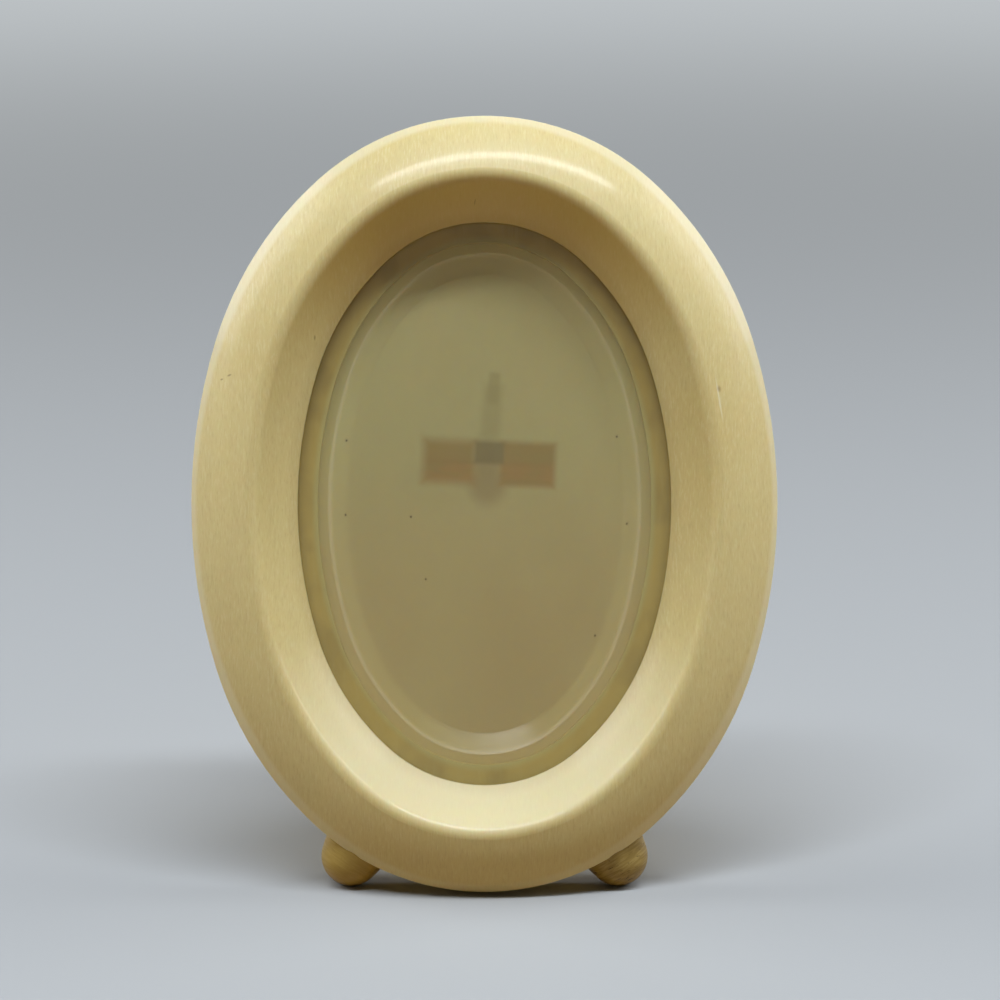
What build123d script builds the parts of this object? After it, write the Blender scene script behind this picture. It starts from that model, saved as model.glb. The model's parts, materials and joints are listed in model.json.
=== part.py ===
from build123d import *
import os
from math import asin, atan2, cos, degrees, hypot, radians, sin, tan

# A standing oval picture frame of ivory celluloid: a moulded front ring, a dished window,
# a translucent back with an easel strut, four turn buttons and two ball feet.
# Lengths are in millimetres and angles in degrees. The frame faces -Y and leans back.

# The whole frame
frame_width = 105.5
frame_height = 139.7
lean_angle = 14

# The oval: side, shoulder and end arcs, which meet at these angles from straight across
side_angle = 17
end_angle = 48

# Front moulding, measured in from the rim and out from the back
moulding_width = 19.0
crest_inset = 11.5
crest_height = 14.6
crest_radius = 2.2
rim_height = 7.6
rim_radius = 2.0
face_bulge = 0.95
cove_hollow = 0.35
side_taper = 2.5
back_edge_radius = 0.7
lip_thickness = 1.5
lip_radius = 0.3

# Rear ring, cemented into the back of the moulding behind the pane
ring_inset = 8.6
ring_thickness = 3.7
ring_reach = 3.5
panel_seat_inset = 15.6
panel_seat_depth = 1.6
ring_edge_chamfer = 0.4

# Glazing pane, with a middle pressed back behind a sloping step
pane_inset = 16.5
pane_thickness = 1.2
pane_slack = 0.05
step_inset = 24.4
step_width = 3.8
step_depth = 2.0
step_top_radius = 0.5
step_foot_radius = 1.4

# Back panel
panel_thickness = 1.35
panel_recess = 0.1

# Fits
seat_gap = 0.1
running_gap = 0.04
side_gap = 0.35
overrun = 2.0

# Hinge of the strut, measured from the middle of the oval
hinge_rise = 7.4
pin_radius = 0.7
pin_length = 23.0
knuckle_wall = 0.5
knuckle_width = 6.3
knuckle_tail = 4.0
panel_to_knuckle = 0.35
strap_width = 24.0
strap_height = 7.8
strap_thickness = 0.4
strap_corner_radius = 0.5

# Easel strut
strut_angle = 30
strut_thickness = 1.8
tongue_length = 16.2
tongue_width = 3.8
tongue_shoulder = 6.2
shoulder_slope = 2.2
waist_drop = 2.0
leg_shoulder_drop = 6.5
leg_top_width = 13.0
leg_foot_width = 19.0
leg_corner_radius = 2.0
stop_gap = 0.12
strut_bend_radius = 2.0
strut_edge_chamfer = 0.25

# Rivets of the knuckle
rivet_radius = 0.6
rivet_head_radius = 1.05
rivet_head_height = 0.4
rivet_spacing = 3.4
rivet_rise = 2.6

# Turn buttons and their screws
button_angle = 38
button_inset = 12.2
button_reach = 6.4
button_width = 4.4
button_tip_width = 3.2
button_thickness = 0.8
button_lift = 0.3
button_play = 0.12
button_edge_radius = 0.25
screw_radius = 0.8
screw_depth = 2.8
screw_head_radius = 1.75
screw_head_height = 0.9
screw_head_round = 0.55
screw_slot_width = 0.45
screw_slot_depth = 0.4

# Ball feet and their studs
foot_radius = 5.45
foot_angle = 32
foot_standoff = 1.0
foot_rise = 1.9
foot_flare = 14
foot_collar = 4.2
foot_collar_round = 0.9
foot_flat = 0.15
stud_radius = 1.2
stud_past_middle = 1.5
stud_in_rim = 5.0

# Radii and centres of the oval's arcs
half_width = frame_width / 2
half_height = frame_height / 2
shoulder_radius = ((half_width**2 + half_height**2) / 2) ** 1.5 / (half_width * half_height)
side_share, side_rise_share = 1 - cos(radians(side_angle)), sin(radians(side_angle))
end_share, end_rise_share = cos(radians(end_angle)), 1 - sin(radians(end_angle))
width_left = half_width - shoulder_radius * (1 - side_share - end_share)
height_left = half_height - shoulder_radius * (1 - end_rise_share - side_rise_share)
arc_balance = side_share * end_rise_share - side_rise_share * end_share
side_radius = (width_left * end_rise_share - end_share * height_left) / arc_balance
end_radius = (side_share * height_left - side_rise_share * width_left) / arc_balance
side_centre = half_width - side_radius
shoulder_across = side_centre + (side_radius - shoulder_radius) * cos(radians(side_angle))
shoulder_up = (side_radius - shoulder_radius) * sin(radians(side_angle))
end_centre = half_height - end_radius
shoulder_turn = end_angle - side_angle
end_turn = 2 * (90 - end_angle)

# Each arc: centre across, centre up, radius, first angle, turn
oval_arcs = [
    (side_centre, 0, side_radius, -side_angle, 2 * side_angle),
    (shoulder_across, shoulder_up, shoulder_radius, side_angle, shoulder_turn),
    (0, end_centre, end_radius, end_angle, end_turn),
    (-shoulder_across, shoulder_up, shoulder_radius, 180 - end_angle, shoulder_turn),
    (-side_centre, 0, side_radius, 180 - side_angle, 2 * side_angle),
    (-shoulder_across, -shoulder_up, shoulder_radius, 180 + side_angle, shoulder_turn),
    (0, -end_centre, end_radius, 180 + end_angle, end_turn),
    (shoulder_across, -shoulder_up, shoulder_radius, 360 - end_angle, shoulder_turn),
]

# Heights above the back of the frame, out towards the viewer
pane_back = ring_thickness
lip_back = pane_back + pane_thickness + pane_slack
lip_front = lip_back + lip_thickness
panel_back = panel_recess
pane_outer = pane_inset + seat_gap
panel_outer = panel_seat_inset + seat_gap

# Hinge line
knuckle_bore = pin_radius + running_gap
knuckle_radius = knuckle_bore + knuckle_wall
pin_height = panel_back - panel_to_knuckle - knuckle_radius

# The tongue leans in until the corner of its tip meets the back panel
stop_height = panel_back - stop_gap - pin_height
tip_distance = hypot(tongue_length, stop_height)
tongue_angle = degrees(atan2(stop_height, tongue_length) + asin(knuckle_radius / tip_distance))

# Ball feet, from the middle of the oval
foot_reach = end_radius + foot_standoff
foot_drop = end_centre + foot_reach * cos(radians(foot_angle))

# Where the middle of the oval stands, so that both feet rest on the ground
lean_sin, lean_cos = sin(radians(lean_angle)), cos(radians(lean_angle))
middle_height = foot_radius - foot_flat + foot_drop * lean_cos - foot_rise * lean_sin

# How far the frame reaches forward and back of the middle of the oval
face_chord = hypot(crest_inset, crest_height - rim_height)
face_radius = (face_chord**2 / 4 + face_bulge**2) / (2 * face_bulge)
face_slope = atan2(crest_height - rim_height, crest_inset)
face_centre_inset = crest_inset / 2 + (face_radius - face_bulge) * sin(face_slope)
face_centre_height = (crest_height + rim_height) / 2 - (face_radius - face_bulge) * cos(face_slope)
front_reach = (half_height - face_centre_inset) * lean_sin + face_centre_height * lean_cos + face_radius
strut_slope = radians(strut_angle - lean_angle)
leg_back = knuckle_radius + strut_thickness
pivot_up = middle_height + hinge_rise * lean_cos + pin_height * lean_sin
pivot_behind = hinge_rise * lean_sin - pin_height * lean_cos
back_reach = pivot_behind + leg_back * cos(strut_slope)
back_reach += (pivot_up + leg_back * sin(strut_slope)) * tan(strut_slope)
middle_behind = (front_reach - back_reach) / 2

# The frame's own plane: x across, y up the frame, z out towards the viewer
across = Vector(1, 0, 0)
outward = Vector(0, -lean_cos, lean_sin)
face_plane = Plane(origin=(0, middle_behind, middle_height), x_dir=across, z_dir=outward)

os.makedirs("parts", exist_ok=True)


class FrameOval(BaseSketchObject):
    """A face bounded by the frame's oval, drawn a distance in from the rim."""

    def __init__(self, inset: float, mode: Mode = Mode.ADD):
        with BuildSketch() as oval:
            with BuildLine():
                for arc_across, arc_up, radius, start, turn in oval_arcs:
                    CenterArc((arc_across, arc_up), radius - inset, start, turn)
            make_face()
        super().__init__(oval.sketch, rotation=0, align=None, mode=mode)


def frame_point(x, y, z):
    """A point given across, up the frame and out from its back."""
    return face_plane.from_local_coords(Vector(x, y, z))


def turn_round_oval(section):
    """Turn a section round the oval: its x runs in from the rim, its y out from the back."""
    for arc_across, arc_up, radius, start, turn in oval_arcs:
        away_x, away_y = cos(radians(start)), sin(radians(start))
        rim_start = frame_point(arc_across + radius * away_x, arc_up + radius * away_y, 0)
        inward = frame_point(0, 0, 0) - frame_point(away_x, away_y, 0)
        along = frame_point(-away_y, away_x, 0) - frame_point(0, 0, 0)
        with BuildSketch(Plane(origin=rim_start, x_dir=inward, z_dir=along)) as placed:
            add(section)
        hub = Axis(frame_point(arc_across, arc_up, 0), outward)
        revolve(placed.sketch, axis=hub, revolution_arc=turn)


def oval_point(angle, inset):
    """The point of the oval, this far in from the rim, where its normal has this angle."""
    for arc_across, arc_up, radius, start, turn in oval_arcs:
        if 0 <= (angle - start) % 360 < turn:
            x = arc_across + (radius - inset) * cos(radians(angle))
            y = arc_up + (radius - inset) * sin(radians(angle))
            return x, y


# Section of the front moulding
with BuildSketch() as moulding_section:
    with BuildLine():
        face = SagittaArc((crest_inset, crest_height), (0, rim_height), -face_bulge)
        Polyline(
            face @ 1,
            (side_taper, 0),
            (ring_inset, 0),
            (ring_inset, ring_thickness),
            (pane_inset, ring_thickness),
            (pane_inset, lip_back),
            (moulding_width, lip_back),
            (moulding_width, lip_front),
        )
        SagittaArc((moulding_width, lip_front), (crest_inset, crest_height), cove_hollow)
    make_face()
    corners = moulding_section.vertices()
    fillet(corners.sort_by(Axis.Y)[-1], crest_radius)
    fillet(corners.sort_by(Axis.X)[0], rim_radius)
    fillet(corners.group_by(Axis.Y)[0].sort_by(Axis.X)[0], back_edge_radius)
    fillet(corners.group_by(Axis.X)[-1].sort_by(Axis.Y)[-1], lip_radius)

# Section of the rear ring, with the ledge that the back panel sits on
ring_outer = ring_inset + seat_gap
ring_inner = moulding_width + ring_reach
with BuildSketch() as ring_section:
    with BuildLine():
        Polyline(
            (ring_outer, 0),
            (ring_outer, ring_thickness),
            (ring_inner, ring_thickness),
            (ring_inner, panel_seat_depth),
            (panel_seat_inset, panel_seat_depth),
            (panel_seat_inset, 0),
            close=True,
        )
    make_face()
    chamfer(ring_section.vertices().group_by(Axis.Y)[0], ring_edge_chamfer)

# Section of the pane's border and step
step_foot = step_inset + step_width
flat_inset = step_foot + step_foot_radius
with BuildSketch() as pane_section:
    with BuildLine():
        Polyline(
            (pane_outer, pane_back),
            (pane_outer, pane_back + pane_thickness),
            (step_inset, pane_back + pane_thickness),
            (step_foot, pane_back + pane_thickness - step_depth),
            (flat_inset, pane_back + pane_thickness - step_depth),
            (flat_inset, pane_back - step_depth),
            (step_foot, pane_back - step_depth),
            (step_inset, pane_back),
            close=True,
        )
    make_face()
    creases = pane_section.vertices()
    fillet(creases.filter_by_position(Axis.X, step_inset, step_inset), step_top_radius)
    fillet(creases.filter_by_position(Axis.X, step_foot, step_foot), step_foot_radius)

# Foot studs sit in the rim, square to it
foot_tilts = {"left": -foot_angle, "right": foot_angle}


def foot_plane(tilt):
    """The plane across a foot's middle, facing away from the frame."""
    x, y = foot_reach * sin(radians(tilt)), -end_centre - foot_reach * cos(radians(tilt))
    away = frame_point(sin(radians(tilt)), -cos(radians(tilt)), 0) - frame_point(0, 0, 0)
    return Plane(origin=frame_point(x, y, foot_rise), x_dir=outward, z_dir=away)


stud_hole_radius = stud_radius + running_gap

# Screws of the turn buttons
button_spots = {
    "upper_right": button_angle,
    "upper_left": 180 - button_angle,
    "lower_left": 180 + button_angle,
    "lower_right": 360 - button_angle,
}
button_front = -button_lift
button_back = button_front - button_thickness
screw_hole_radius = screw_radius + running_gap
screw_hole_depth = screw_depth + seat_gap

# Front moulding
with BuildPart() as front_moulding:
    turn_round_oval(moulding_section.sketch)
    for tilt in foot_tilts.values():
        with BuildSketch(foot_plane(tilt)):
            Circle(stud_hole_radius)
        extrude(amount=-(foot_standoff + stud_in_rim + seat_gap), mode=Mode.SUBTRACT)
front_moulding.part.label = "front_moulding"
export_step(front_moulding.part, "parts/front_moulding.step")

# Rear ring
with BuildPart() as rear_ring:
    turn_round_oval(ring_section.sketch)
    with BuildSketch(face_plane):
        with Locations(*[oval_point(angle, button_inset) for angle in button_spots.values()]):
            Circle(screw_hole_radius)
    extrude(amount=screw_hole_depth, mode=Mode.SUBTRACT)
rear_ring.part.label = "rear_ring"
export_step(rear_ring.part, "parts/rear_ring.step")

# Glazing pane
with BuildPart() as glazing_pane:
    turn_round_oval(pane_section.sketch)
    with BuildSketch(face_plane.offset(pane_back - step_depth)):
        FrameOval(flat_inset)
    extrude(amount=pane_thickness)
glazing_pane.part.label = "glazing_pane"
export_step(glazing_pane.part, "parts/glazing_pane.step")

# Back panel
with BuildPart() as back_panel:
    with BuildSketch(face_plane.offset(panel_back)):
        FrameOval(panel_outer)
    extrude(amount=panel_thickness)
back_panel.part.label = "back_panel"
export_step(back_panel.part, "parts/back_panel.step")

# Planes at the middle of the pin. Seen from the side, x runs up the frame and y out of it.
pin_middle = frame_point(0, hinge_rise, pin_height)
upward = Vector(0, lean_sin, lean_cos)
hinge_side = Plane(origin=pin_middle, x_dir=upward, z_dir=across)
hinge_face = Plane(origin=pin_middle, x_dir=across, z_dir=outward)
tongue_out = outward * cos(radians(tongue_angle)) - upward * sin(radians(tongue_angle))
tongue_face = Plane(origin=pin_middle, x_dir=across, z_dir=tongue_out)
tongue_side = Plane(origin=pin_middle, x_dir=across.cross(tongue_out) * -1, z_dir=across)

# Hinge pin
with BuildPart() as hinge_pin:
    with BuildSketch(hinge_side):
        Circle(pin_radius)
    extrude(amount=pin_length / 2, both=True)
hinge_pin.part.label = "hinge_pin"
export_step(hinge_pin.part, "parts/hinge_pin.step")

# Hinge straps, thin sheet rolled over the pin and cemented to the back panel beside the knuckle
strap_inner = knuckle_width / 2 + side_gap
strap_front = panel_back - pin_height
fold_radius = pin_radius + strap_thickness
sides = {"left": -1, "right": 1}

for side, sign in sides.items():
    with BuildPart() as hinge_strap:
        with BuildSketch(hinge_side.offset(sign * strap_inner)) as strap_section:
            with Locations((0, strap_front - strap_thickness / 2)):
                Rectangle(strap_height, strap_thickness)
            with Locations((0, (strap_front - strap_thickness) / 2)):
                Rectangle(2 * fold_radius, strap_front - strap_thickness)
            Circle(fold_radius)
            inner_corners = strap_section.vertices().filter_by_position(
                Axis.X, -fold_radius, fold_radius
            )
            fillet(inner_corners.group_by(Axis.Y)[-1], strap_corner_radius)
            Circle(pin_radius + running_gap, mode=Mode.SUBTRACT)
        extrude(amount=sign * (strap_width / 2 - strap_inner))
    hinge_strap.part.label = f"hinge_strap_{side}"
    export_step(hinge_strap.part, f"parts/hinge_strap_{side}.step")

# Strut knuckle, a strip rolled round the pin with its tail riveted to the strut
rivet_side_spots = [-rivet_spacing / 2, rivet_spacing / 2]

with BuildPart() as strut_knuckle:
    with BuildSketch(tongue_side):
        Circle(knuckle_radius)
        with Locations((knuckle_tail / 2, -(knuckle_radius + knuckle_bore) / 2)):
            Rectangle(knuckle_tail, knuckle_wall)
        Circle(knuckle_bore, mode=Mode.SUBTRACT)
    extrude(amount=knuckle_width / 2, both=True)
    with BuildSketch(tongue_face):
        with Locations(*[(spot, rivet_rise) for spot in rivet_side_spots]):
            Circle(rivet_radius + running_gap)
    extrude(amount=-leg_back, mode=Mode.SUBTRACT)
strut_knuckle.part.label = "strut_knuckle"
export_step(strut_knuckle.part, "parts/strut_knuckle.step")

# Easel strut, a bent strip whose tongue stops against the back and whose leg stands on the ground
leg_run = (pivot_up + leg_back * sin(strut_slope)) / cos(strut_slope)
foot_level = -leg_run * cos(radians(strut_angle))
side_slope = (leg_foot_width - leg_top_width) / 2 / (-leg_shoulder_drop - foot_level)


def strut_line(behind):
    """Tip, bend and foot of the strut's line this far behind the pin, seen from the side."""
    tongue_turn, leg_turn = radians(tongue_angle), radians(strut_angle)
    middle_turn, half_bend = (leg_turn + tongue_turn) / 2, (leg_turn - tongue_turn) / 2
    tip_run, foot_run = tongue_length + overrun, leg_run + overrun
    tip = (
        behind * sin(tongue_turn) + tip_run * cos(tongue_turn),
        -behind * cos(tongue_turn) + tip_run * sin(tongue_turn),
    )
    bend = (
        behind * sin(middle_turn) / cos(half_bend),
        -behind * cos(middle_turn) / cos(half_bend),
    )
    foot = (
        behind * sin(leg_turn) - foot_run * cos(leg_turn),
        -behind * cos(leg_turn) - foot_run * sin(leg_turn),
    )
    return tip, bend, foot


with BuildPart() as easel_strut:
    with BuildSketch(hinge_side):
        with BuildLine():
            front = FilletPolyline(
                *strut_line(knuckle_radius), radius=strut_bend_radius + strut_thickness
            )
            back = FilletPolyline(*strut_line(leg_back), radius=strut_bend_radius)
            Line(front @ 0, back @ 0)
            Line(front @ 1, back @ 1)
        make_face()
    extrude(amount=leg_foot_width, both=True)
    with BuildSketch(hinge_face) as strut_outline:
        with BuildLine():
            tip = CenterArc((0, tongue_length - tongue_width / 2), tongue_width / 2, 0, 180)
            edge = Polyline(
                tip @ 0,
                (tongue_width / 2, tongue_shoulder),
                (knuckle_width / 2, tongue_shoulder - shoulder_slope),
                (knuckle_width / 2, -waist_drop),
                (leg_top_width / 2, -leg_shoulder_drop),
                (leg_foot_width / 2 + overrun * side_slope, foot_level - overrun),
                (0, foot_level - overrun),
            )
            mirror(edge, about=Plane.YZ)
        make_face()
        shoulders = strut_outline.vertices().filter_by_position(
            Axis.Y, -leg_shoulder_drop - leg_corner_radius, tongue_shoulder + leg_corner_radius
        )
        fillet(shoulders, leg_corner_radius)
    extrude(amount=leg_run, both=True, mode=Mode.INTERSECT)
    chamfer(easel_strut.edges(), strut_edge_chamfer)
    with BuildSketch(tongue_face):
        with Locations(*[(spot, rivet_rise) for spot in rivet_side_spots]):
            Circle(rivet_radius + running_gap)
    extrude(amount=-leg_back - overrun, mode=Mode.SUBTRACT)
    split(bisect_by=Plane.XY, keep=Keep.TOP)
easel_strut.part.label = "easel_strut"
export_step(easel_strut.part, "parts/easel_strut.step")

# Two rivets through the knuckle's tail and the strut, each with a domed head at both ends
shank_edge = rivet_rise + rivet_radius
head_edge = rivet_rise + rivet_head_radius

with BuildPart() as strut_rivets:
    for spot in rivet_side_spots:
        with BuildSketch(tongue_side.offset(spot)):
            with BuildLine():
                head = TangentArc(
                    (rivet_rise, rivet_head_height - knuckle_bore),
                    (head_edge, -knuckle_bore),
                    tangent=(1, 0),
                )
                rear_head = TangentArc(
                    (rivet_rise, -leg_back - rivet_head_height),
                    (head_edge, -leg_back),
                    tangent=(1, 0),
                )
                Polyline(
                    head @ 1, (shank_edge, -knuckle_bore), (shank_edge, -leg_back), rear_head @ 1
                )
                Line(head @ 0, rear_head @ 0)
            make_face()
        rivet_middle = tongue_face.from_local_coords(Vector(spot, rivet_rise, 0))
        revolve(axis=Axis(rivet_middle, tongue_out))
strut_rivets.part.label = "strut_rivets"
export_step(strut_rivets.part, "parts/strut_rivets.step")

# Turn buttons, each over the edge of the back panel, and the screws that they swivel on
out_axis = Axis(frame_point(0, 0, 0), outward)
screw_head_front = button_back - button_play


def button_plane(angle, height):
    """The plane across a button's screw at this height, with x pointing in from the rim."""
    x, y = oval_point(angle, button_inset)
    inward = frame_point(0, 0, 0) - frame_point(cos(radians(angle)), sin(radians(angle)), 0)
    return Plane(origin=frame_point(x, y, height), x_dir=inward, z_dir=outward)


for place, angle in button_spots.items():
    with BuildPart() as turn_button:
        with BuildSketch(button_plane(angle, button_front)):
            Circle(button_width / 2)
            with Locations((button_reach, 0)):
                Circle(button_tip_width / 2)
            make_hull()
            Circle(screw_hole_radius, mode=Mode.SUBTRACT)
        extrude(amount=-button_thickness)
        rear_face = turn_button.faces().sort_by(out_axis)[0]
        fillet(rear_face.outer_wire().edges(), button_edge_radius)
    turn_button.part.label = f"turn_button_{place}"
    export_step(turn_button.part, f"parts/turn_button_{place}.step")

    with BuildPart() as button_screw:
        with BuildSketch(button_plane(angle, screw_depth)):
            Circle(screw_radius)
        extrude(amount=screw_head_front - screw_depth)
        with BuildSketch(button_plane(angle, screw_head_front)):
            Circle(screw_head_radius)
        extrude(amount=-screw_head_height)
        rear_face = button_screw.faces().sort_by(out_axis)[0]
        fillet(rear_face.outer_wire().edges(), screw_head_round)
        with BuildSketch(button_plane(angle, screw_head_front - screw_head_height)):
            Rectangle(2 * screw_head_radius, screw_slot_width)
        extrude(amount=screw_slot_depth, mode=Mode.SUBTRACT)
    button_screw.part.label = f"button_screw_{place}"
    export_step(button_screw.part, f"parts/button_screw_{place}.step")

# Ball feet, flaring to meet the rim, with a flat to stand on, and the studs that hold them
collar_radius = foot_radius * cos(radians(foot_flare))
collar_radius += (foot_radius * sin(radians(foot_flare)) + foot_collar) * tan(radians(foot_flare))

with BuildSketch() as foot_section:
    with BuildLine():
        ball = CenterArc((0, 0), foot_radius, foot_flare, 90 - foot_flare)
        Polyline(ball @ 0, (collar_radius, -foot_collar), (0, -foot_collar), ball @ 1)
    make_face()
    collar_corner = foot_section.vertices().sort_by(Axis.X)[-1]
    fillet(collar_corner, foot_collar_round)

for side, tilt in foot_tilts.items():
    foot_middle = foot_plane(tilt)
    with BuildPart() as foot:
        section_normal = outward.cross(foot_middle.z_dir)
        with BuildSketch(Plane(foot_middle.origin, x_dir=outward, z_dir=section_normal)):
            add(foot_section.sketch)
        revolve(axis=Axis(foot_middle.origin, foot_middle.z_dir))
        add(front_moulding.part, mode=Mode.SUBTRACT)
        with BuildSketch(foot_middle.offset(stud_past_middle + seat_gap)):
            Circle(stud_hole_radius)
        extrude(amount=-(stud_past_middle + foot_standoff + stud_in_rim), mode=Mode.SUBTRACT)
        split(bisect_by=Plane.XY, keep=Keep.TOP)
    foot.part.label = f"foot_{side}"
    export_step(foot.part, f"parts/foot_{side}.step")

    with BuildPart() as foot_stud:
        with BuildSketch(foot_middle.offset(stud_past_middle)):
            Circle(stud_radius)
        extrude(amount=-(stud_past_middle + foot_standoff + stud_in_rim))
    foot_stud.part.label = f"foot_stud_{side}"
    export_step(foot_stud.part, f"parts/foot_stud_{side}.step")
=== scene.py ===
import json
import math

import bmesh
import bpy
from mathutils import Matrix, Vector


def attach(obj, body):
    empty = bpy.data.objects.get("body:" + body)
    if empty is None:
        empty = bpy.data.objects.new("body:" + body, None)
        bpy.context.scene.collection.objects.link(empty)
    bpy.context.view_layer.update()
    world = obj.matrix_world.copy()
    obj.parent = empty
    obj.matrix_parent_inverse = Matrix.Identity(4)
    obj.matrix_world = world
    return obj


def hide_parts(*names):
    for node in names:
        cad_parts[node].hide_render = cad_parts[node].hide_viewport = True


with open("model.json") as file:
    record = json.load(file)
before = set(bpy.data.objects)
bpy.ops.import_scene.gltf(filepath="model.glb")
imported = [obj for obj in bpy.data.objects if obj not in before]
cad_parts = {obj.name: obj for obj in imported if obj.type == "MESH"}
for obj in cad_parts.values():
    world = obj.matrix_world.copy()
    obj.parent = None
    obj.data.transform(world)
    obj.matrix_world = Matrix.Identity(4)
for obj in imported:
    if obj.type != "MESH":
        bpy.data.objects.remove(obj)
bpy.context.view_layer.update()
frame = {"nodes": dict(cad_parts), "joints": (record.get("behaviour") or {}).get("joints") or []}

# An oval standing picture frame of ivory celluloid, with a pressed clear window, a thin
# see-through back, brass turn buttons and an easel strut. Lengths are in metres, and in
# millimetres where a name ends in Mm and inside every look. A look gives each grain as its
# steps across, into and up the frame, its detail and its roughness.

nodes = frame["nodes"]
mm = 0.001


# Where the frame stands: the turn buttons sit square to its back and round its middle
def findFramePlane():
    joints = {joint["name"]: joint for joint in frame["joints"]}
    upperRight = joints["button_upper_right_swivel"]
    lowerLeft = joints["button_lower_left_swivel"]
    outward = Vector(upperRight["axis"]).normalized()
    middle = (Vector(upperRight["pos_m"]) + Vector(lowerLeft["pos_m"])) / 2
    buttonLift = 0.3 * mm  # the buttons turn this far behind the frame's back
    return middle + outward * buttonLift, outward


ovalMiddle, outward = findFramePlane()
across = Vector((1, 0, 0))
upward = outward.cross(across)
lean = math.atan2(outward.z, -outward.y)
print("The frame leans back", round(math.degrees(lean), 1), "degrees")


def framePoint(acrossMm, upMm, outMm):
    # a point in the frame's own plane: across, up, and out from its back
    return ovalMiddle + across * acrossMm * mm + upward * upMm * mm + outward * outMm * mm


# The photograph: square to the frame, with the middle of the oval at this pixel
camera = {
    "distance": 0.6,
    "fieldWidthMm": 180.0,
    "imagePixels": 1000,
    "ovalMiddlePixel": (484.4, 503.8),
    "rimOutMm": 7.6,
    "sensorMm": 36.0,
}


def pixelMm(px, py):
    # a place in the photograph, as millimetres across and up from the middle of the oval
    mmPerPixel = camera["fieldWidthMm"] / camera["imagePixels"]
    middleX, middleY = camera["ovalMiddlePixel"]
    return (px - middleX) * mmPerPixel, (middleY - py) * mmPerPixel


# Colours and nodes
def toLinear(hexColour):
    channels = [int(hexColour[i:i + 2], 16) / 255 for i in (1, 3, 5)]
    bent = [c / 12.92 if c <= 0.04045 else ((c + 0.055) / 1.055) ** 2.4 for c in channels]
    return (*bent, 1.0)


def addNode(tree, kind, settings=None, inputs=None, output=None):
    # adds one node and gives its output; an input is a plain value or a socket to link from
    node = tree.nodes.new(kind)
    for name, value in (settings or {}).items():
        setattr(node, name, value)
    for name, value in (inputs or {}).items():
        if isinstance(value, bpy.types.NodeSocket):
            tree.links.new(value, node.inputs[name])
        else:
            node.inputs[name].default_value = value
    if not node.outputs:
        return node
    return node.outputs[output] if output else next(s for s in node.outputs if s.enabled)


# Masks: each is a number from 0 to 1 at each place of a piece, and says where a coat goes
def frameSpace(tree, stepMm=(1, 1, 1), centreMm=(0, 0, 0), turn=0):
    # places seen in the frame's own plane: x across, y into its back, z up it, counted
    # from the centre in steps of stepMm, after a turn in that plane
    spin = Matrix.Rotation(-lean, 3, "X") @ Matrix.Rotation(math.radians(turn), 3, "Y")
    place = addNode(tree, "ShaderNodeTexCoord", output="Object")
    steps = [step * mm for step in stepMm]
    return addNode(
        tree, "ShaderNodeMapping", {"vector_type": "TEXTURE"},
        {
            "Vector": place, "Location": framePoint(*centreMm),
            "Rotation": spin.to_euler(), "Scale": steps,
        },
    )


def grain(tree, stepMm, detail=2.0, roughness=0.5, distortion=0.0, turn=0):
    # a natural cloudy or lined pattern, with its real steps across, into and up the frame
    return addNode(
        tree, "ShaderNodeTexNoise",
        inputs={
            "Vector": frameSpace(tree, stepMm, turn=turn), "Scale": 1.0, "Detail": detail,
            "Roughness": roughness, "Distortion": distortion,
        },
    )


def largest(tree, masks):
    # the largest of several masks at each place
    top = masks[0]
    for mask in masks[1:]:
        top = addNode(tree, "ShaderNodeMath", {"operation": "MAXIMUM"}, {0: top, 1: mask})
    return top


def marks(tree, spots, outMm=0, depthMm=400):
    # soft round or long spots, each at its pixel across and down the photograph, with its
    # half width and half height in millimetres and its turn; they go right through a piece
    # unless they are given a smaller depth
    shapes = []
    for px, py, wideMm, highMm, turn in spots:
        centreMm = (*pixelMm(px, py), outMm)
        shapes.append(
            addNode(
                tree, "ShaderNodeTexGradient", {"gradient_type": "SPHERICAL"},
                {"Vector": frameSpace(tree, (wideMm, depthMm, highMm), centreMm, turn)}, "Fac",
            )
        )
    return largest(tree, shapes)


def softBoxes(tree, boxesMm, turn):
    # 1 inside boxes in the frame's plane, each across, up, half width, half height and the
    # width of its soft edge
    shapes = []
    for acrossMm, upMm, wideMm, highMm, softMm in boxesMm:
        space = frameSpace(tree, (1, 1, 1), (acrossMm, upMm, 0), turn)
        parts = addNode(tree, "ShaderNodeSeparateXYZ", inputs={"Vector": space}, output="X").node
        sides = []
        for axis, halfMm in (("X", wideMm), ("Z", highMm)):
            reach = addNode(
                tree, "ShaderNodeMath", {"operation": "ABSOLUTE"}, {0: parts.outputs[axis]}
            )
            sides.append(
                addNode(tree, "ShaderNodeMath", {"operation": "SUBTRACT"}, {0: reach, 1: halfMm})
            )
        shapes.append(
            addNode(
                tree, "ShaderNodeMapRange", {"interpolation_type": "SMOOTHSTEP"},
                {
                    "Value": largest(tree, sides),
                    "From Min": softMm / 2, "From Max": -softMm / 2,
                },
            )
        )
    return largest(tree, shapes)


def placeMm(tree, axis):
    # how far a place is up the frame (Z), or in from its back (Y), in millimetres
    return addNode(
        tree, "ShaderNodeSeparateXYZ", inputs={"Vector": frameSpace(tree)}, output=axis
    )


def upShare(tree, startMm, endMm, most=1.0):
    # from 0 to the most as places go from one height up the frame to another
    return addNode(
        tree, "ShaderNodeMapRange",
        inputs={
            "Value": placeMm(tree, "Z"), "From Min": startMm, "From Max": endMm,
            "To Max": most,
        },
    )


def outShare(tree, startMm, endMm, most=1.0):
    # from 0 to the most as places go from one distance out from the frame's back to another
    return addNode(
        tree, "ShaderNodeMapRange",
        inputs={
            "Value": placeMm(tree, "Y"), "From Min": -startMm, "From Max": -endMm,
            "To Max": most,
        },
    )


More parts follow.
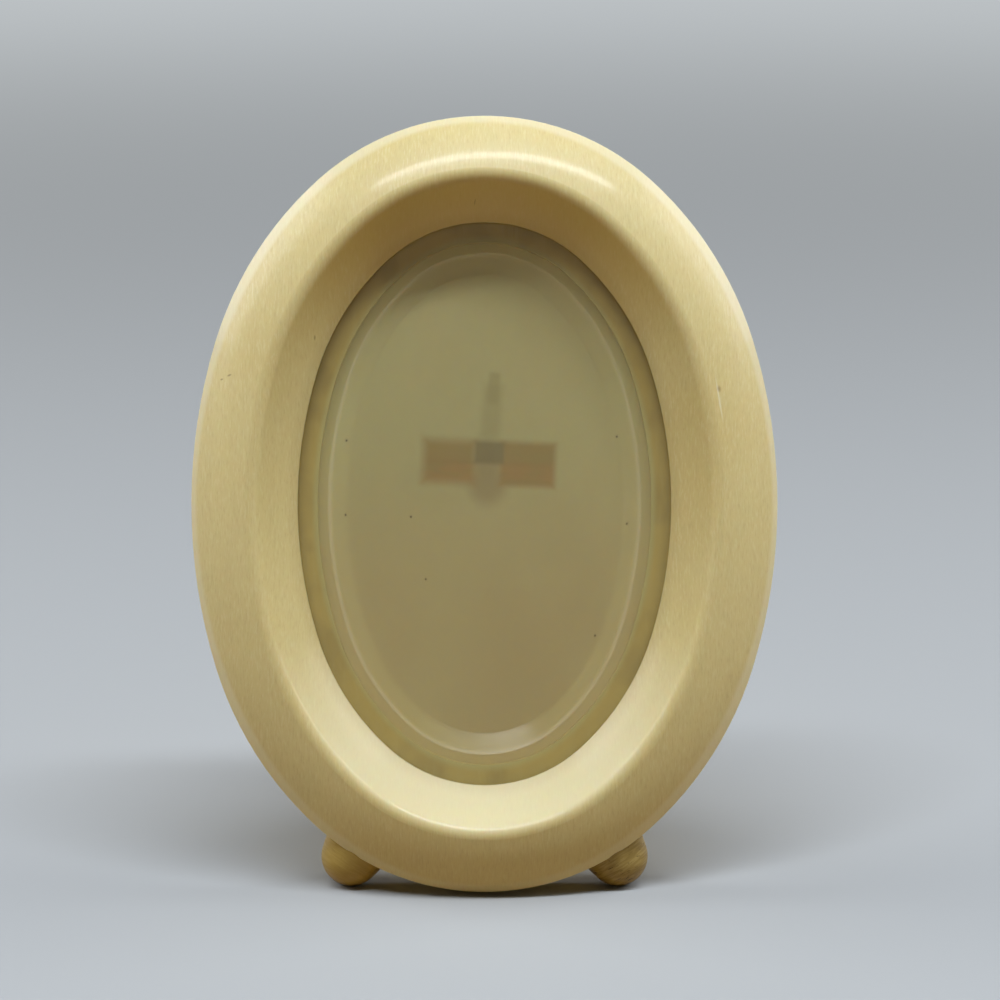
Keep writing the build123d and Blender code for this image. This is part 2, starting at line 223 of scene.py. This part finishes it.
def outBand(tree, lowestMm, lowMm, highMm, highestMm):
    # 1 between the middle two distances out from the frame's back, 0 past the other two
    return outShare(tree, highestMm, highMm, outShare(tree, lowestMm, lowMm))


def ovalShare(tree, halfMm, start, end, most=1.0):
    # from 0 to the most as places go from one part of an oval's half sizes to another
    wideMm, highMm = halfMm
    endlessMm = 1000
    reach = addNode(
        tree, "ShaderNodeVectorMath", {"operation": "LENGTH"},
        {0: frameSpace(tree, (wideMm, endlessMm, highMm))}, "Value",
    )
    return addNode(
        tree, "ShaderNodeMapRange",
        inputs={"Value": reach, "From Min": start, "From Max": end, "To Max": most},
    )


# Coats: each names its colour and its mask, says where the mask starts and ends, and how
# much of the colour is laid there
def layer(tree, under, over, mask, start, end, amount=1.0):
    share = addNode(
        tree, "ShaderNodeMapRange", {"interpolation_type": "SMOOTHSTEP"},
        {"Value": mask, "From Min": start, "From Max": end, "To Max": amount},
    )
    return addNode(
        tree, "ShaderNodeMix", {"data_type": "RGBA"},
        {"Factor": share, "A": under, "B": toLinear(over)},
    )


def paint(tree, look, under, coats, masks):
    for colour, mask, start, end, amount in coats:
        under = layer(tree, under, look[colour], masks[mask], start, end, amount)
    return under


def finish(tree, look, colour, shine, height=None):
    # the shader: a colour, a roughness that follows the shine mask, and a fine relief
    low, high = look["roughness"]
    shineLow, shineHigh = 0.3, 0.7  # a grain keeps mostly between these
    roughness = addNode(
        tree, "ShaderNodeMapRange",
        inputs={
            "Value": shine, "From Min": shineLow, "From Max": shineHigh,
            "To Min": low, "To Max": high,
        },
    )
    inputs = {"Base Color": colour, "Roughness": roughness}
    if height is not None:
        inputs["Normal"] = addNode(
            tree, "ShaderNodeBump", inputs={"Height": height, "Distance": look["reliefMm"] * mm}
        )
    inputs.update(look.get("shader", {}))
    shader = addNode(tree, "ShaderNodeBsdfPrincipled", inputs=inputs)
    addNode(tree, "ShaderNodeOutputMaterial", inputs={"Surface": shader})


def newMaterial(name):
    material = bpy.data.materials.new(name)
    material.use_nodes = True
    material.node_tree.nodes.clear()
    return material, material.node_tree


def dress(material, *names):
    for name in names:
        data = nodes[name].data
        data.materials.clear()
        data.materials.append(material)


# Front moulding: celluloid made like ivory and turned. The eye sees short fine fibres of two
# ivories, all upright, a satin face with a faint polish over it, and a few knocks
mouldingLook = {
    "ivory": "#ecdd9e",
    "paleLine": "#f6ecba",
    "darkLine": "#d6c084",
    "warmPatch": "#e3ce88",
    "paleWearAndHighlight": "#fcf6d6",
    "paintedLightCove": "#fdf4cb",
    "paintedShadeCove": "#dabb6e",
    "darkBrown": "#8f6d30",
    "fibres": ((0.26, 3.0, 1.6), 3.0, 0.6),
    "sheets": ((2.2, 60, 24), 2.0, 0.5),
    "patches": ((26, 30, 34), 1.0, 0.5),
    "rimHalfMm": (52.75, 69.85),
    "rimShare": (0.974, 0.99),
    "rimOutMm": (4.6, 6.2),
    "crestHalfMm": (41.5, 58.6),
    "crestShare": (1.02, 0.98),
    "coveSillMm": (-20, -48),
    "coveRoofMm": (24, 50),
    "coveFootOutMm": (8.6, 6.2),
    "faceOutMm": 11,
    "faceDepthMm": 9,
    "dent": [(717, 390, 0.5, 0.9, -8)],
    "dentEdgeHighlight": [(717, 400, 0.24, 6.2, -9.5)],
    "knocks": [
        (315, 338, 0.24, 0.75, 4), (223, 380, 0.42, 0.24, -15),
        (231, 376, 0.62, 0.26, -22), (475, 203, 0.14, 0.8, 10),
    ],
    "dentDepth": -9.0,
    "coats": [
        ("warmPatch", "patches", 0.4, 0.7, 0.4),
        ("darkLine", "sheets", 0.5, 0.75, 0.1),
        ("darkLine", "fibres", 0.52, 0.7, 0.34),
        ("paleLine", "fibres", 0.48, 0.3, 0.5),
        # the rim's front is painted paler, partly as wear and partly as a painted highlight on
        # its rounded edge
        ("paleWearAndHighlight", "rim", 0.0, 1.0, 0.5),
        # painted light on the cove's sill, which faces up, and painted shade under its roof,
        # which faces down
        ("paintedLightCove", "coveSill", 0.0, 1.0, 0.7),
        ("paintedShadeCove", "coveRoof", 0.0, 1.0, 0.7),
        ("darkBrown", "coveFoot", 0.0, 1.0, 0.15),
        # a painted highlight along the dent's raised edge
        ("paleWearAndHighlight", "dentEdgeHighlight", 0.1, 0.6, 0.75),
        ("darkBrown", "dirt", 0.05, 0.8, 0.6),
    ],
    "roughness": (0.42, 0.52),
    "reliefMm": 0.005,
    "shader": {
        "Specular IOR Level": 0.55, "Coat Weight": 0.3, "Coat Roughness": 0.15,
        "Subsurface Weight": 0.3, "Subsurface Radius": (1.0, 0.65, 0.3),
        "Subsurface Scale": 1.6 * mm,
    },
}


def turnedIvoryCelluloid():
    look = mouldingLook
    material, tree = newMaterial("turnedIvoryCelluloid")
    masks = {name: grain(tree, *look[name]) for name in ("fibres", "sheets", "patches")}

    # the front of the rim is paler, partly worn and partly a painted highlight on its rounded
    # edge;
    # the cove's sill, which faces up, has painted light and its roof painted shade, and the cove
    # turns a darker brown towards its foot, where it meets the window
    frontward = outShare(tree, *look["rimOutMm"])
    masks["rim"] = ovalShare(tree, look["rimHalfMm"], *look["rimShare"], frontward)
    inCove = ovalShare(tree, look["crestHalfMm"], *look["crestShare"])
    masks["coveSill"] = upShare(tree, *look["coveSillMm"], inCove)
    masks["coveRoof"] = upShare(tree, *look["coveRoofMm"], inCove)
    masks["coveFoot"] = outShare(tree, *look["coveFootOutMm"], inCove)

    # the knocks are in the face only, and don't go through to the back
    # the pale line beside the dent is a painted highlight on its raised edge
    for name in ("dent", "dentEdgeHighlight", "knocks"):
        masks[name] = marks(tree, look[name], look["faceOutMm"], look["faceDepthMm"])
    masks["dirt"] = largest(tree, [masks["dent"], masks["knocks"]])
    relief = addNode(
        tree, "ShaderNodeMath", {"operation": "MULTIPLY_ADD"},
        {0: masks["dent"], 1: look["dentDepth"], 2: masks["fibres"]},
    )
    colour = paint(tree, look, toLinear(look["ivory"]), look["coats"], masks)
    finish(tree, look, colour, masks["fibres"], relief)
    return material


# Ball feet: turned from the same sheets, laid across the foot. The eye sees a browner ivory,
# a smooth left foot, and in the right one curved lines level with the rim and dark cracks
footLook = {
    "crack": "#33220c",
    "sheets": ((4, 4, 0.36), 1.0, 0.5, 0.9),
    "cracks": ((2.4, 2.4, 0.3), 2.0, 0.6, 0.9),
    "patches": ((4, 4, 4), 2.0),
    "roughness": (0.3, 0.42),
    "shader": {"Coat Weight": 0.08, "Coat Roughness": 0.18, "Specular IOR Level": 0.28},
    "left": {
        "ivory": "#bfa458", "paleLine": "#d0b872", "darkLine": "#a68a46",
        "turn": 32, "lineAmount": 0.2, "crackAmount": 0.15, "reliefMm": 0.004,
    },
    "right": {
        "ivory": "#ae9655", "paleLine": "#c9b573", "darkLine": "#806b36",
        "turn": -32, "lineAmount": 0.36, "crackAmount": 0.85, "reliefMm": 0.0072,
    },
}


def turnedFootCelluloid(name, side):
    look = {**footLook, **footLook[side]}
    material, tree = newMaterial(name)
    masks = {
        "sheets": grain(tree, *look["sheets"], look["turn"]),
        "cracks": grain(tree, *look["cracks"], look["turn"]),
        "patches": grain(tree, *look["patches"]),
    }
    coats = [
        ("darkLine", "sheets", 0.5, 0.64, look["lineAmount"]),
        ("paleLine", "sheets", 0.48, 0.36, look["lineAmount"]),
        ("darkLine", "patches", 0.5, 0.75, 0.3),
        ("crack", "cracks", 0.64, 0.7, look["crackAmount"]),
    ]
    colour = paint(tree, look, toLinear(look["ivory"]), coats, masks)
    finish(tree, look, colour, masks["sheets"], masks["sheets"])
    return material


# Rear ring: an older, amber celluloid. The eye sees its sawn face as the olive border
# inside the window, which turns milky further in, and its smooth back behind the frame
ringLook = {
    "amber": "#dcbc56",
    "dark": "#bb9a3e",
    "pale": "#e0c974",
    "milky": "#d9d088",
    "lines": ((0.6, 20, 9), 3.0, 0.6),
    "patches": ((9, 9, 9), 2.0),
    "milkyHalfMm": (31.0, 48.2),
    "milkyShare": (1.02, 0.975),
    "frontOutMm": (2.6, 3.4),
    "coats": [
        ("dark", "patches", 0.45, 0.7, 0.7),
        ("pale", "lines", 0.5, 0.7, 0.3),
        ("milky", "milky", 0.0, 1.0, 0.9),
    ],
    "roughness": (0.42, 0.55),
    "reliefMm": 0.015,
}


def sawnAmberCelluloid():
    look = ringLook
    material, tree = newMaterial("sawnAmberCelluloid")
    masks = {name: grain(tree, *look[name]) for name in ("lines", "patches")}
    front = outShare(tree, *look["frontOutMm"])
    masks["milky"] = ovalShare(tree, look["milkyHalfMm"], *look["milkyShare"], front)
    colour = paint(tree, look, toLinear(look["amber"]), look["coats"], masks)
    finish(tree, look, colour, masks["patches"], masks["lines"])
    return material


# Window: clear celluloid gone yellow, pressed to a shape. The eye sees a milky, greenish
# yellow haze over the back, a sloping step round its middle painted pale as a painted sheen,
# with a painted highlight along its edge, a faint gloss and a few specks of dust
windowLook = {
    "haze": "#aca774",
    "paleHaze": "#c1bd8e",
    "slopeSheen": "#e8e6a4",
    "stepEdgeHighlight": "#fffbe0",
    "speck": "#4a3a1c",
    "clouds": ((26, 40, 34), 3.0, 0.55),
    "slopeOutMm": (2.95, 3.5, 4.8, 4.9),
    "stepEdgeOutMm": (4.45, 4.72, 4.87, 4.91),
    "smearPixels": [(457, 511), (552, 247), (484, 620)],
    "smearMm": (2.2, 0.5, 8),
    "speckPixels": [
        (345, 440), (344, 515), (410, 517), (425, 580), (618, 436), (628, 524), (596, 637),
    ],
    "speckMm": (0.3, 0.36, 0),
    "coats": [
        ("paleHaze", "clouds", 0.4, 0.65, 0.8),
        # the sloping step is painted pale, a painted sheen for the light it catches
        ("slopeSheen", "slopeSheen", 0.0, 1.0, 0.6),
        # a painted highlight along the step's edge
        ("stepEdgeHighlight", "stepEdgeHighlight", 0.0, 1.0, 0.85),
        ("speck", "specks", 0.1, 0.6, 1.0),
        ("paleHaze", "smears", 0.0, 0.8, 0.6),
    ],
    "roughness": (0.16, 0.22),
    "shader": {
        "Alpha": 0.2, "Specular IOR Level": 1.0, "Coat Weight": 1.0, "Coat Roughness": 0.12,
    },
    "outOfRingMm": 0.02,
}


def windowSpots(tree, name):
    # the specks of dust, or the smears, which all have one size
    spots = [(*pixel, *windowLook[name + "Mm"]) for pixel in windowLook[name + "Pixels"]]
    return marks(tree, spots)


def pressedClearCelluloid():
    look = windowLook
    material, tree = newMaterial("pressedClearCelluloid")
    masks = {
        "clouds": grain(tree, *look["clouds"]),
        "slopeSheen": outBand(tree, *look["slopeOutMm"]),
        "stepEdgeHighlight": outBand(tree, *look["stepEdgeOutMm"]),
        "specks": windowSpots(tree, "speck"),
        "smears": windowSpots(tree, "smear"),
    }
    colour = paint(tree, look, toLinear(look["haze"]), look["coats"], masks)
    finish(tree, look, colour, masks["clouds"])
    return material


# Back panel: a thin sheet of translucent ivory celluloid. The eye sees light through it, and
# on its front the brown straps, grey knuckle and leg behind it are painted as soft marks of
# painted shade, where they keep light from coming through the sheet, tinted with their colours.
# The straps, fold, knuckle and tongue are boxes measured from the middle of the hinge, which
# is hingeUpMm up the frame, and the leg is two spots at their pixels in the photograph
panelLook = {
    "ivory": "#e4dfa8",
    "brownIvory": "#dfcb92",
    "warmPatch": "#dbcb8a",
    "strapMark": "#cb9d56",
    "strapOliveAndShade": "#b9a057",
    "foldMark": "#97743a",
    "knuckleMark": "#9a8558",
    "legMark": "#c4bb82",
    "shadowMark": "#c2ab78",
    "speck": windowLook["speck"],
    "patches": ((26, 30, 34), 3.0, 0.5),
    "lines": ((0.5, 20, 16), 2.0, 0.5),
    "streaks": ((7, 20, 1.6), 2.0),
    "hingeUpMm": 7.4,
    "turn": 2.5,
    "tongueTurn": 5.0,
    "straps": [(-6.4, 0.3, 4.7, 3.9, 2.6), (7.8, -0.3, 5.0, 4.0, 1.7)],
    "strapTopPinShade": [(0.5, 2.6, 14, 2.4, 1.8)],
    "strapAmount": 0.94,
    "fold": [(0.5, 0.0, 11, 0.3, 1.8)],
    "knuckle": [(0.9, 1.9, 2.7, 2.0, 1.8)],
    "tongue": [(1.2, 8.4, 1.7, 5.8, 2.8)],
    "tongueTip": [(1.7, 13.6, 1.0, 2.8, 1.4)],
    "legPixels": [(487.18, 484.91, 5.0, 5.4, 0), (487.73, 468.24, 3.6, 6.0, 0)],
    "frontOutMm": (0.5, 1.0),
    "coats": [
        # the sheet is painted browner and darker towards the bottom, a painted shade that stands
        # in for the window's paler reflection higher up
        ("brownIvory", "height", 20, -30, 1.0),
        ("warmPatch", "patches", 0.42, 0.7, 0.5),
        ("warmPatch", "lines", 0.55, 0.7, 0.15),
    ],
    "strapCoats": [
        # the straps' upper halves are painted darker olive as the painted shade of the pin, and
        # streaked
        ("strapOliveAndShade", "strapTopPinShade", 0.0, 1.0, 0.6),
        ("strapOliveAndShade", "streaks", 0.45, 0.65, 0.6),
    ],
    # painted shade of the leg and the tongue behind the sheet
    "underStrapCoats": [
        ("shadowMark", "leg", 0.0, 0.7, 0.8),
        ("legMark", "tongue", 0.0, 1.0, 0.5),
        ("legMark", "tongueTip", 0.0, 1.0, 0.6),
    ],
    "overStrapCoats": [
        ("foldMark", "fold", 0.0, 1.0, 0.15),
        ("knuckleMark", "knuckle", 0.0, 1.0, 0.85),
        ("speck", "specks", 0.1, 0.6, 0.7),
    ],
    "roughness": (0.4, 0.5),
    "reliefMm": 0.004,
    "shader": {
        "Subsurface Weight": 0.7, "Subsurface Radius": (1.0, 0.85, 0.5),
        "Subsurface Scale": 1.2 * mm, "Specular IOR Level": 0.4,
    },
}


def translucentIvorySheet():
    look = panelLook
    material, tree = newMaterial("translucentIvorySheet")
    masks = {
        "height": placeMm(tree, "Z"),
        "patches": grain(tree, *look["patches"]),
        "lines": grain(tree, *look["lines"]),
        "streaks": grain(tree, *look["streaks"], turn=look["turn"]),
        "leg": marks(tree, look["legPixels"]),
        "specks": windowSpots(tree, "speck"),
    }
    for name in ("straps", "strapTopPinShade", "fold", "knuckle", "tongue", "tongueTip"):
        turn = look["tongueTurn"] if name.startswith("tongue") else look["turn"]
        boxes = [(x, look["hingeUpMm"] + up, *size) for x, up, *size in look[name]]
        masks[name] = softBoxes(tree, boxes, turn)

    # the plain sheet, then the painted shade of what is behind it: the leg, the straps and the
    # knuckle
    plain = paint(tree, look, toLinear(look["ivory"]), look["coats"], masks)
    straps = paint(tree, look, toLinear(look["strapMark"]), look["strapCoats"], masks)
    colour = paint(tree, look, plain, look["underStrapCoats"], masks)
    strapShare = addNode(
        tree, "ShaderNodeMath", {"operation": "MULTIPLY"},
        {0: masks["straps"], 1: look["strapAmount"]},
    )
    colour = addNode(
        tree, "ShaderNodeMix", {"data_type": "RGBA"},
        {"Factor": strapShare, "A": colour, "B": straps},
    )
    colour = paint(tree, look, colour, look["overStrapCoats"], masks)
    colour = addNode(
        tree, "ShaderNodeMix", {"data_type": "RGBA"},
        {"Factor": outShare(tree, *look["frontOutMm"]), "A": plain, "B": colour},
    )
    finish(tree, look, colour, masks["patches"], masks["lines"])
    return material


# Easel strut: a stiff sheet of ivory celluloid, bent hot. The eye sees fine lines along
# it, a satin face, and brown wear at its foot
strutLook = {
    "ivory": "#e2cf97",
    "paleLine": "#eddfb2",
    "darkLine": "#c8ae70",
    "wear": "#8c7040",
    "lines": ((0.6, 22, 22), 3.0, 0.6),
    "patches": ((7, 9, 16), 2.0),
    "coats": [
        ("darkLine", "lines", 0.5, 0.72, 0.5),
        ("paleLine", "lines", 0.46, 0.32, 0.6),
        ("darkLine", "patches", 0.5, 0.75, 0.3),
        ("wear", "heightOffFloor", 3.0 * mm, 0.0, 0.6),
    ],
    "roughness": (0.38, 0.5),
    "reliefMm": 0.01,
    "shader": {"Coat Weight": 0.12, "Coat Roughness": 0.2, "Specular IOR Level": 0.4},
}


def bentIvorySheet():
    look = strutLook
    material, tree = newMaterial("bentIvorySheet")
    masks = {name: grain(tree, *look[name]) for name in ("lines", "patches")}
    place = addNode(tree, "ShaderNodeTexCoord", output="Object")
    masks["heightOffFloor"] = addNode(
        tree, "ShaderNodeSeparateXYZ", inputs={"Vector": place}, output="Z"
    )
    colour = paint(tree, look, toLinear(look["ivory"]), look["coats"], masks)
    finish(tree, look, colour, masks["patches"], masks["lines"])
    return material


# Small metalwork. The eye sees brass gone brown in its hollows and brighter where it is
# handled, dull grey steel in the knuckle, and a bright drawn wire for the pin. A metal's
# step is the size of its tarnished patches
metalLook = {
    "scratchTurn": 24,
    "coats": [
        ("dull", "tarnish", 0.42, 0.66, 0.9),
        ("dull", "scratches", 0.6, 0.68, 0.35),
    ],
    "reliefMm": 0.006,
    "shader": {"Metallic": 1.0},
    "strap": {"bright": "#a9793d", "dull": "#6a4722", "stepMm": 2.4, "roughness": (0.38, 0.6)},
    "button": {"bright": "#c9a257", "dull": "#84622e", "stepMm": 1.6, "roughness": (0.24, 0.45)},
    "rivet": {"bright": "#c39a52", "dull": "#7a5a2a", "stepMm": 0.8, "roughness": (0.25, 0.45)},
    "stud": {"bright": "#b98f4a", "dull": "#6f5226", "stepMm": 1.0, "roughness": (0.3, 0.5)},
    "knuckle": {"bright": "#a3a199", "dull": "#5d5a52", "stepMm": 1.8, "roughness": (0.35, 0.55)},
    "wire": {"bright": "#bcbab2", "dull": "#7a766c", "stepMm": 1.2, "roughness": (0.22, 0.4)},
}


def tarnishedMetal(name, kind):
    look = {**metalLook, **metalLook[kind]}
    material, tree = newMaterial(name)
    step = look["stepMm"]
    long, fine = step * 2, step * 0.12
    masks = {
        "tarnish": grain(tree, (step, step, step), 4.0, 0.6, 0.4),
        "scratches": grain(tree, (long, long, fine), 2.0, turn=look["scratchTurn"]),
    }
    colour = paint(tree, look, toLinear(look["bright"]), look["coats"], masks)
    finish(tree, look, colour, masks["tarnish"], masks["scratches"])
    return material


# Which piece wears what
dress(turnedIvoryCelluloid(), "front_moulding")
dress(turnedFootCelluloid("turnedFootCelluloidLeft", "left"), "foot_left")
dress(turnedFootCelluloid("turnedFootCelluloidRight", "right"), "foot_right")
dress(sawnAmberCelluloid(), "rear_ring")
dress(translucentIvorySheet(), "back_panel")
dress(bentIvorySheet(), "easel_strut")
places = ("upper_right", "upper_left", "lower_left", "lower_right")
buttons = [part + place for part in ("turn_button_", "button_screw_") for place in places]
dress(tarnishedMetal("stampedTarnishedBrass", "button"), *buttons)
dress(tarnishedMetal("rolledBrownedBrass", "strap"), "hinge_strap_left", "hinge_strap_right")
dress(tarnishedMetal("headedBrass", "rivet"), "strut_rivets")
dress(tarnishedMetal("turnedBrass", "stud"), "foot_stud_left", "foot_stud_right")
dress(tarnishedMetal("rolledSheetSteel", "knuckle"), "strut_knuckle")
dress(tarnishedMetal("drawnSteelWire", "wire"), "hinge_pin")
print("The materials are made")


# The window rests on the ring face to face, and two faces in one place flicker in a
# see-through piece, so the shown window stands a hair further out in its slack
def makeWindow():
    data = nodes["glazing_pane"].data.copy()
    shading = [corner.vector.copy() for corner in data.corner_normals]
    mesh = bmesh.new()
    mesh.from_mesh(data)
    hair = outward * windowLook["outOfRingMm"] * mm
    bmesh.ops.remove_doubles(mesh, verts=mesh.verts, dist=0.001 * mm)
    bmesh.ops.translate(mesh, verts=mesh.verts, vec=hair)
    mesh.to_mesh(data)
    mesh.free()
    data.normals_split_custom_set(shading)
    window = bpy.data.objects.new("pressed_window", data)
    bpy.context.collection.objects.link(window)
    data.materials.clear()
    data.materials.append(pressedClearCelluloid())
    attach(window, "frame")
    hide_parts("glazing_pane")


makeWindow()
print("The window is in")

# The studio: a pale floor, a long soft light overhead, soft boxes at the sides and behind,
# and a camera square to the frame
studio = {
    "floorSize": 8.0,
    "floorShown": "#bcc1c4",
    "floorLit": "#a08a60",
    "evenFloorReach": (0.1, 1.8),
    "skyLit": "#ffe9c2",
    "skyStrength": 0.05,
    "skyShown": "#bcc1c4",
    "skyTop": "#84898d",
    "skyHeight": (0.1, 0.7),
}

# each lamp: where it stands, its width and height, its watts and its colour
lamps = {
    "overheadStrip": ((0.06, -0.36, 1.15), (1.2, 0.11), 11.2, "#f4f8ff"),
    "leftSoftBox": ((-0.9, 0.12, 0.69), (0.6, 0.6), 4.6, "#fdfdff"),
    "rightSoftBox": ((0.9, 0.12, 0.69), (0.6, 0.6), 4.3, "#fdfdff"),
    "backSoftBox": ((0.3, 0.95, 0.7), (0.7, 0.7), 5.5, "#fffaf2"),
}


def seenDirectly(tree):
    # 1 for what the camera, a mirror or a clear piece shows, 0 for what lights the object
    path = addNode(tree, "ShaderNodeLightPath", output="Is Camera Ray").node
    kinds = ("Is Camera Ray", "Is Glossy Ray", "Is Transmission Ray")
    return largest(tree, [path.outputs[kind] for kind in kinds])


def paleStudioFloor():
    # the floor that is seen keeps the shadows near the frame and evens out further off,
    # and the floor that lights the object is a darker one
    material, tree = newMaterial("paleStudioFloor")
    shownColour = toLinear(studio["floorShown"])
    shadowed = addNode(tree, "ShaderNodeBsdfDiffuse", inputs={"Color": shownColour})
    even = addNode(tree, "ShaderNodeEmission", inputs={"Color": shownColour})
    away = addNode(
        tree, "ShaderNodeVectorMath", {"operation": "LENGTH"},
        {0: addNode(tree, "ShaderNodeTexCoord", output="Object")}, "Value",
    )
    nearReach, farReach = studio["evenFloorReach"]
    share = addNode(
        tree, "ShaderNodeMapRange", {"interpolation_type": "SMOOTHSTEP"},
        {"Value": away, "From Min": nearReach, "From Max": farReach},
    )
    shown = addNode(tree, "ShaderNodeMixShader", inputs={0: share, 1: shadowed, 2: even})
    lit = addNode(tree, "ShaderNodeBsdfDiffuse", inputs={"Color": toLinear(studio["floorLit"])})
    surface = addNode(
        tree, "ShaderNodeMixShader", inputs={0: seenDirectly(tree), 1: lit, 2: shown}
    )
    addNode(tree, "ShaderNodeOutputMaterial", inputs={"Surface": surface})
    return material


def makeFloor():
    mesh = bmesh.new()
    bmesh.ops.create_grid(mesh, x_segments=1, y_segments=1, size=studio["floorSize"] / 2)
    data = bpy.data.meshes.new("studioFloor")
    mesh.to_mesh(data)
    mesh.free()
    data.materials.append(paleStudioFloor())
    floor = bpy.data.objects.new("studioFloor", data)
    bpy.context.collection.objects.link(floor)
    return floor


def makeLamps(floor):
    for name, (place, size, watts, colour) in lamps.items():
        data = bpy.data.lights.new(name, "AREA")
        data.shape = "RECTANGLE"
        data.size, data.size_y = size
        data.energy = watts
        data.color = toLinear(colour)[:3]
        lamp = bpy.data.objects.new(name, data)
        lamp.location = place
        lamp.rotation_euler = (ovalMiddle - Vector(place)).to_track_quat("-Z", "Y").to_euler()
        lamp.visible_camera = False
        bpy.context.collection.objects.link(lamp)

    # the light behind lights the frame's back only, so the shadow under the frame stays
    unlit = bpy.data.collections.new("floorLeftUnlit")
    unlit.objects.link(floor)
    unlit.collection_objects[0].light_linking.link_state = "EXCLUDE"
    bpy.data.objects["backSoftBox"].light_linking.receiver_collection = unlit


def makeSky():
    world = bpy.data.worlds.new("studioSky")
    bpy.context.scene.world = world
    world.use_nodes = True
    tree = world.node_tree
    tree.nodes.clear()
    lit = addNode(
        tree, "ShaderNodeBackground",
        inputs={"Color": toLinear(studio["skyLit"]), "Strength": studio["skyStrength"]},
    )
    height = addNode(
        tree, "ShaderNodeSeparateXYZ",
        inputs={"Vector": addNode(tree, "ShaderNodeTexCoord", output="Generated")}, output="Z",
    )
    low, high = studio["skyHeight"]
    wall = layer(tree, toLinear(studio["skyShown"]), studio["skyTop"], height, low, high)
    shown = addNode(tree, "ShaderNodeBackground", inputs={"Color": wall})
    sky = addNode(tree, "ShaderNodeMixShader", inputs={0: seenDirectly(tree), 1: lit, 2: shown})
    addNode(tree, "ShaderNodeOutputWorld", inputs={"Surface": sky})


def makeCamera():
    # the photograph looks square on to the leaning frame, from just to the right of it
    data = bpy.data.cameras.new("photoCamera")
    data.sensor_width = camera["sensorMm"]
    data.lens = data.sensor_width * camera["distance"] / (camera["fieldWidthMm"] * mm)
    half = camera["imagePixels"] / 2
    acrossMm, upMm = pixelMm(half, half)
    lens = bpy.data.objects.new("photoCamera", data)
    lens.location = framePoint(acrossMm, upMm, camera["rimOutMm"]) + outward * camera["distance"]
    lens.rotation_euler = (-outward).to_track_quat("-Z", "Y").to_euler()
    bpy.context.collection.objects.link(lens)
    bpy.context.scene.camera = lens


makeLamps(makeFloor())
makeSky()
makeCamera()
bpy.context.scene.view_settings.view_transform = "Standard"
print("The studio is set")
